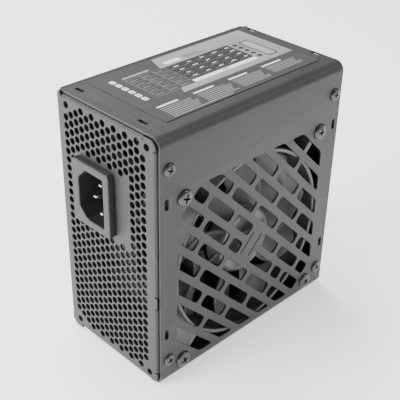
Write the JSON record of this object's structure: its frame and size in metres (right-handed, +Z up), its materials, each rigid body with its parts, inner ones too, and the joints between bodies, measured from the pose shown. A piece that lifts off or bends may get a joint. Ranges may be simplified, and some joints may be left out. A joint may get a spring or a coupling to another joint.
{
  "type": "power supply unit",
  "caption": "Small-form-factor computer power supply: folded steel case with slanted fan grille, vented mains panel, mains inlet, turning fan and socket panel.",
  "frame": {"origin": "centre of the case's bottom face, where it rests", "axes": "+Z up; -X mains panel with the inlet and vents, +X socket panel, -Y fan side, +Y back wall"},
  "size_m": [0.1191, 0.0651, 0.1253],
  "materials": {
    "case_paint": "powder coat, fine grain, satin",
    "label_print": "satin printed film",
    "screw_steel": "black nickel plated",
    "fan_plastic": "moulded, satin",
    "blade_plastic": "moulded, soft gloss",
    "magnet": "bonded magnet, matt",
    "bright_steel": "nickel plated",
    "brass": "turned",
    "winding": "enamelled copper wire",
    "circuit_board": "solder mask",
    "lead_sleeve": "PVC sleeve",
    "inlet_plastic": "moulded, fine texture",
    "film": "polyester film",
    "film_yellow": "tape and box",
    "fuse_glass": "ceramic tube with plated caps",
    "ferrite": "sintered, matt",
    "capacitor_sleeve": "shrink sleeve",
    "heatsink": "extruded, raw",
    "socket_plastic": "moulded nylon"
  },
  "bodies": {
    "housing": {"base_shell": "case_paint", "cover_shell": "case_paint", "rating_label": "label_print", "cover_screw_1": "screw_steel", "cover_screw_2": "screw_steel", "cover_screw_3": "screw_steel", "cover_screw_4": "screw_steel", "fan_screw_1": "screw_steel", "fan_screw_2": "screw_steel", "fan_screw_3": "screw_steel", "fan_screw_4": "screw_steel", "fan_frame": "fan_plastic", "fan_bearing": "brass", "fan_stator": "winding", "fan_board": "circuit_board", "fan_lead": "lead_sleeve", "inlet_body": "inlet_plastic", "inlet_pin_live": "bright_steel", "inlet_pin_neutral": "bright_steel", "inlet_pin_earth": "bright_steel", "inlet_board": "circuit_board", "insulation_sheet": "film", "main_board": "circuit_board", "board_standoff_1": "brass", "board_standoff_2": "brass", "board_standoff_3": "brass", "board_standoff_4": "brass", "board_screw_1": "screw_steel", "board_screw_2": "screw_steel", "board_screw_3": "screw_steel", "board_screw_4": "screw_steel", "lead_live": "lead_sleeve", "lead_neutral": "lead_sleeve", "emi_choke": "winding", "x_capacitor": "film_yellow", "fuse": "fuse_glass", "bridge_rectifier": "ferrite", "bulk_capacitor": "capacitor_sleeve", "pfc_choke": "winding", "primary_heatsink": "heatsink", "transformer_core": "ferrite", "transformer_winding": "film_yellow", "standby_transformer": "ferrite", "secondary_heatsink": "heatsink", "output_inductor": "winding", "output_capacitor_1": "capacitor_sleeve", "output_capacitor_2": "capacitor_sleeve", "output_capacitor_3": "capacitor_sleeve", "socket_board": "circuit_board", "cpu_socket": "socket_plastic", "main_socket": "socket_plastic", "drive_socket_1": "socket_plastic", "drive_socket_2": "socket_plastic", "graphics_socket_1": "socket_plastic", "graphics_socket_2": "socket_plastic"},
    "fan_rotor": {"fan_rotor": "blade_plastic", "magnet_ring": "magnet", "fan_shaft": "bright_steel"}
  },
  "joints": [
    {"name": "fan_spin", "type": "hinge", "parent": "housing", "child": "fan_rotor", "pos_m": [0, -0.024, 0.0513], "axis": [0, 1, 0], "continuous": true}
  ]
}
